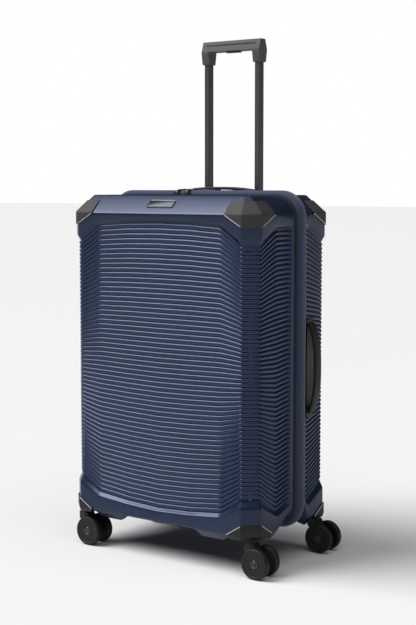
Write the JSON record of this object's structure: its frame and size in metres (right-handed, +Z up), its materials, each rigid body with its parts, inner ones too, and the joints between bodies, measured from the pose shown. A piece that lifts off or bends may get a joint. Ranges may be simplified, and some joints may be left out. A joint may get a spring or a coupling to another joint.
{
  "type": "hard shell suitcase",
  "caption": "Upright hard shell suitcase with ribbed shells, black corner guards, zip belt, lock, carry handles, pull-out trolley handle and twin-wheel swivel casters.",
  "frame": {"origin": "on the floor under the middle of the whole object's box, with the trolley handle pulled out", "axes": "+Z up; the lid faces -Y and the trolley side +Y; +X is the side with the side carry handle"},
  "size_m": [0.5084, 0.2906, 1.062],
  "materials": {
    "shell": "satin navy moulded shell",
    "guard_plastic": "satin black",
    "black_plastic": "fine-grained black",
    "handle_plastic": "soft-touch black",
    "grip_plastic": "satin dark grey",
    "tube_metal": "anodised dark grey",
    "dark_metal": "dark plated",
    "axle_steel": "bright steel",
    "wheel_rubber": "matte black tread",
    "belt_textile": "woven navy",
    "zip_tape": "woven tape with moulded teeth",
    "lining": "thin woven lining",
    "strap_webbing": "elastic webbing"
  },
  "bodies": {
    "back_half": {"back_shell": "shell", "back_lining": "lining", "zip_belt": "belt_textile", "zip_tape_back": "zip_tape", "hinge_tape": "belt_textile", "corner_guard_back_left": "guard_plastic", "corner_guard_back_right": "guard_plastic", "trolley_bezel": "black_plastic", "guide_tube_left": "dark_metal", "guide_tube_right": "dark_metal", "trolley_tube_foot": "black_plastic", "top_handle_bracket_left": "black_plastic", "top_handle_bracket_right": "black_plastic", "side_handle_base": "black_plastic", "lock_body": "dark_metal", "caster_housing_back_left": "black_plastic", "caster_housing_back_right": "black_plastic", "packing_strap_left": "strap_webbing", "packing_strap_right": "strap_webbing", "strap_buckle_plug": "black_plastic", "strap_buckle_socket": "black_plastic"},
    "lid": {"front_shell": "shell", "front_lining": "lining", "front_pocket": "lining", "badge": "dark_metal", "zip_tape_front": "zip_tape", "corner_guard_front_left": "guard_plastic", "corner_guard_front_right": "guard_plastic", "caster_housing_front_left": "black_plastic", "caster_housing_front_right": "black_plastic"},
    "trolley": {"slide_tube_left": "tube_metal", "slide_tube_right": "tube_metal", "trolley_grip": "grip_plastic"},
    "grip_button": {"release_button": "black_plastic"},
    "top_handle": {"top_handle_grip": "handle_plastic"},
    "side_handle": {"side_handle_grip": "handle_plastic"},
    "lock_slide": {"lock_release": "axle_steel"},
    "dial_left": {"lock_dial_left": "black_plastic"},
    "dial_middle": {"lock_dial_middle": "black_plastic"},
    "dial_right": {"lock_dial_right": "black_plastic"},
    "zip_runner_left": {"zip_slider_left": "dark_metal"},
    "zip_tab_left": {"zip_pull_left": "dark_metal"},
    "zip_runner_right": {"zip_slider_right": "dark_metal"},
    "zip_tab_right": {"zip_pull_right": "dark_metal"},
    "caster_front_left": {"caster_fork_front_left": "black_plastic", "axle_front_left": "axle_steel"},
    "roller_front_left_front": {"wheel_front_left_front": "wheel_rubber"},
    "roller_front_left_rear": {"wheel_front_left_rear": "wheel_rubber"},
    "caster_front_right": {"caster_fork_front_right": "black_plastic", "axle_front_right": "axle_steel"},
    "roller_front_right_front": {"wheel_front_right_front": "wheel_rubber"},
    "roller_front_right_rear": {"wheel_front_right_rear": "wheel_rubber"},
    "caster_back_left": {"caster_fork_back_left": "black_plastic", "axle_back_left": "axle_steel"},
    "roller_back_left_front": {"wheel_back_left_front": "wheel_rubber"},
    "roller_back_left_rear": {"wheel_back_left_rear": "wheel_rubber"},
    "caster_back_right": {"caster_fork_back_right": "black_plastic", "axle_back_right": "axle_steel"},
    "roller_back_right_front": {"wheel_back_right_front": "wheel_rubber"},
    "roller_back_right_rear": {"wheel_back_right_rear": "wheel_rubber"}
  },
  "joints": [
    {"name": "lid_hinge", "type": "hinge", "parent": "back_half", "child": "lid", "pos_m": [-0.252, -0.002, 0.0755], "axis": [0, 0, -1], "range_deg": [0, 145]},
    {"name": "trolley_slide", "type": "slide", "parent": "back_half", "child": "trolley", "axis": [0, 0, 1], "range_m": [-0.305, 0]},
    {"name": "release_button_press", "type": "slide", "parent": "trolley", "child": "grip_button", "axis": [0, 0, 1], "range_m": [0, 0.003], "stiffness_N_per_m": 400, "springref_m": -0.003},
    {"name": "top_handle_lift", "type": "slide", "parent": "back_half", "child": "top_handle", "axis": [0, 0, 1], "range_m": [0, 0.014], "stiffness_N_per_m": 120, "springref_m": -0.006},
    {"name": "side_handle_pull", "type": "slide", "parent": "back_half", "child": "side_handle", "axis": [1, 0, 0], "range_m": [0, 0.014], "stiffness_N_per_m": 120, "springref_m": -0.006},
    {"name": "dial_left_turn", "type": "hinge", "parent": "back_half", "child": "dial_left", "pos_m": [-0.02175, 0.04875, 0.7443], "axis": [1, 0, 0], "continuous": true},
    {"name": "dial_middle_turn", "type": "hinge", "parent": "back_half", "child": "dial_middle", "pos_m": [-0.01425, 0.04875, 0.7443], "axis": [1, 0, 0], "continuous": true},
    {"name": "dial_right_turn", "type": "hinge", "parent": "back_half", "child": "dial_right", "pos_m": [-0.00675, 0.04875, 0.7443], "axis": [1, 0, 0], "continuous": true},
    {"name": "lock_release_slide", "type": "slide", "parent": "back_half", "child": "lock_slide", "axis": [1, 0, 0], "range_m": [0, 0.003], "stiffness_N_per_m": 300, "springref_m": -0.002},
    {"name": "zip_run_left", "type": "slide", "parent": "back_half", "child": "zip_runner_left", "axis": [1, 0, 0], "range_m": [-0.11, 0.008]},
    {"name": "zip_pull_turn_left", "type": "hinge", "parent": "zip_runner_left", "child": "zip_tab_left", "pos_m": [-0.07025, 0.0018, 0.7451], "axis": [1, 0, 0], "range_deg": [0, 165]},
    {"name": "zip_run_right", "type": "slide", "parent": "back_half", "child": "zip_runner_right", "axis": [1, 0, 0], "range_m": [-0.008, 0.2]},
    {"name": "zip_pull_turn_right", "type": "hinge", "parent": "zip_runner_right", "child": "zip_tab_right", "pos_m": [-0.04375, 0.0018, 0.7451], "axis": [1, 0, 0], "range_deg": [0, 165]},
    {"name": "caster_swivel_front_left", "type": "hinge", "parent": "lid", "child": "caster_front_left", "pos_m": [-0.22325, -0.1167, 0.0729], "axis": [0, 0, 1], "continuous": true},
    {"name": "wheel_spin_front_left_front", "type": "hinge", "parent": "caster_front_left", "child": "roller_front_left_front", "pos_m": [-0.20095, -0.1345, 0.0302], "axis": [0, 1, 0], "continuous": true},
    {"name": "wheel_spin_front_left_rear", "type": "hinge", "parent": "caster_front_left", "child": "roller_front_left_rear", "pos_m": [-0.20095, -0.0989, 0.0302], "axis": [0, 1, 0], "continuous": true},
    {"name": "caster_swivel_front_right", "type": "hinge", "parent": "lid", "child": "caster_front_right", "pos_m": [0.20175, -0.1167, 0.0729], "axis": [0, 0, 1], "continuous": true},
    {"name": "wheel_spin_front_right_front", "type": "hinge", "parent": "caster_front_right", "child": "roller_front_right_front", "pos_m": [0.22405, -0.1345, 0.0302], "axis": [0, 1, 0], "continuous": true},
    {"name": "wheel_spin_front_right_rear", "type": "hinge", "parent": "caster_front_right", "child": "roller_front_right_rear", "pos_m": [0.22405, -0.0989, 0.0302], "axis": [0, 1, 0], "continuous": true},
    {"name": "caster_swivel_back_left", "type": "hinge", "parent": "back_half", "child": "caster_back_left", "pos_m": [-0.22325, 0.1167, 0.0729], "axis": [0, 0, 1], "continuous": true},
    {"name": "wheel_spin_back_left_front", "type": "hinge", "parent": "caster_back_left", "child": "roller_back_left_front", "pos_m": [-0.20095, 0.0989, 0.0302], "axis": [0, 1, 0], "continuous": true},
    {"name": "wheel_spin_back_left_rear", "type": "hinge", "parent": "caster_back_left", "child": "roller_back_left_rear", "pos_m": [-0.20095, 0.1345, 0.0302], "axis": [0, 1, 0], "continuous": true},
    {"name": "caster_swivel_back_right", "type": "hinge", "parent": "back_half", "child": "caster_back_right", "pos_m": [0.20175, 0.1167, 0.0729], "axis": [0, 0, 1], "continuous": true},
    {"name": "wheel_spin_back_right_front", "type": "hinge", "parent": "caster_back_right", "child": "roller_back_right_front", "pos_m": [0.22405, 0.0989, 0.0302], "axis": [0, 1, 0], "continuous": true},
    {"name": "wheel_spin_back_right_rear", "type": "hinge", "parent": "caster_back_right", "child": "roller_back_right_rear", "pos_m": [0.22405, 0.1345, 0.0302], "axis": [0, 1, 0], "continuous": true}
  ]
}
